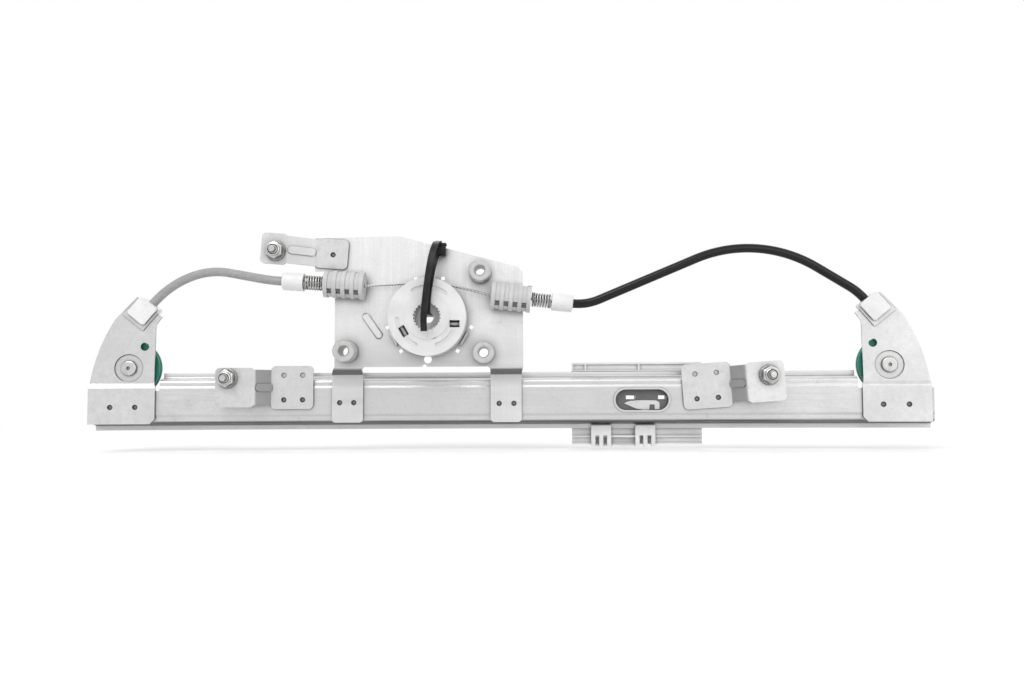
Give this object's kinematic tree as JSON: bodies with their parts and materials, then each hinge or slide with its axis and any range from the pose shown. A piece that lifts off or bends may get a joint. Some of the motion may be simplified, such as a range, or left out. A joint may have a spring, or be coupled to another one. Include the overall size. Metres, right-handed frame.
{
  "type": "window regulator",
  "caption": "Single-rail cable-driven window regulator with a bowed guide rail, cable drum on a motor plate, sheathed cables round end pulleys and a glass carriage.",
  "frame": {"origin": "the drum's axis where it meets the motor plate's front face", "axes": "+X along the rail's chord at the drum, towards its longer end; +Y away from the motor side, towards the glass; +Z from the rail towards the conduits"},
  "size_m": [0.5459, 0.0477, 0.1403],
  "materials": {
    "zinc_steel": "satin zinc plate, drawn lengthwise",
    "turned_steel": "turned and zinc plated",
    "spring_steel": "bright drawn wire",
    "rope_steel": "greased stranded rope",
    "nipple_zinc": "cast zinc",
    "green_plastic": "moulded acetal",
    "white_plastic": "moulded nylon",
    "natural_plastic": "natural acetal",
    "sleeve_plastic": "grey moulded plastic",
    "grey_conduit": "grey sheath",
    "black_conduit": "black sheath",
    "black_plastic": "black nylon"
  },
  "bodies": {
    "frame": {"guide_rail": "zinc_steel", "left_pulley_bracket": "zinc_steel", "right_pulley_bracket": "zinc_steel", "motor_plate": "zinc_steel", "left_mount_bracket": "zinc_steel", "right_mount_bracket": "zinc_steel", "upper_mount_bracket": "zinc_steel", "motor_bushes": "turned_steel", "mount_studs": "turned_steel", "flange_nuts": "turned_steel", "left_pulley_rivet": "turned_steel", "right_pulley_rivet": "turned_steel", "left_tension_spring": "spring_steel", "right_tension_spring": "spring_steel", "left_cable": "rope_steel", "right_cable": "rope_steel", "left_conduit_holder": "white_plastic", "right_conduit_holder": "white_plastic", "left_conduit_ferrule": "white_plastic", "right_conduit_ferrule": "white_plastic", "left_tension_sleeve": "sleeve_plastic", "right_tension_sleeve": "sleeve_plastic", "left_conduit": "grey_conduit", "right_conduit": "black_conduit", "cable_tie": "black_plastic"},
    "carriage": {"carriage": "natural_plastic", "glass_insert": "turned_steel", "carriage_nipples": "nipple_zinc"},
    "drum": {"cable_drum": "natural_plastic", "drum_nipples": "nipple_zinc", "drum_cable_turns": "rope_steel"},
    "left_pulley": {"left_pulley": "green_plastic"},
    "right_pulley": {"right_pulley": "green_plastic"}
  },
  "joints": [
    {"name": "carriage_travel", "type": "hinge", "parent": "frame", "child": "carriage", "pos_m": [0, -2.4905, -0.0534], "axis": [0, 0, -1], "range_deg": [-6.2, 2.36]},
    {"name": "drum_spin", "type": "hinge", "parent": "frame", "child": "drum", "pos_m": [0, 0, 0], "axis": [0, -1, 0], "range_deg": [-666, 255]},
    {"name": "left_pulley_spin", "type": "hinge", "parent": "frame", "child": "left_pulley", "pos_m": [-0.19728, 0.00792, -0.0314], "axis": [0.0787, -0.9969, 0], "range_deg": [-890, 340]},
    {"name": "right_pulley_spin", "type": "hinge", "parent": "frame", "child": "right_pulley", "pos_m": [0.29704, -0.00197, -0.0314], "axis": [-0.1185, -0.993, 0], "range_deg": [-890, 340]}
  ],
  "couplings": [
    {"joint": "drum_spin", "follows": "carriage_travel", "ratio": 107.1},
    {"joint": "left_pulley_spin", "follows": "carriage_travel", "ratio": 143.21},
    {"joint": "right_pulley_spin", "follows": "carriage_travel", "ratio": 143.21}
  ]
}
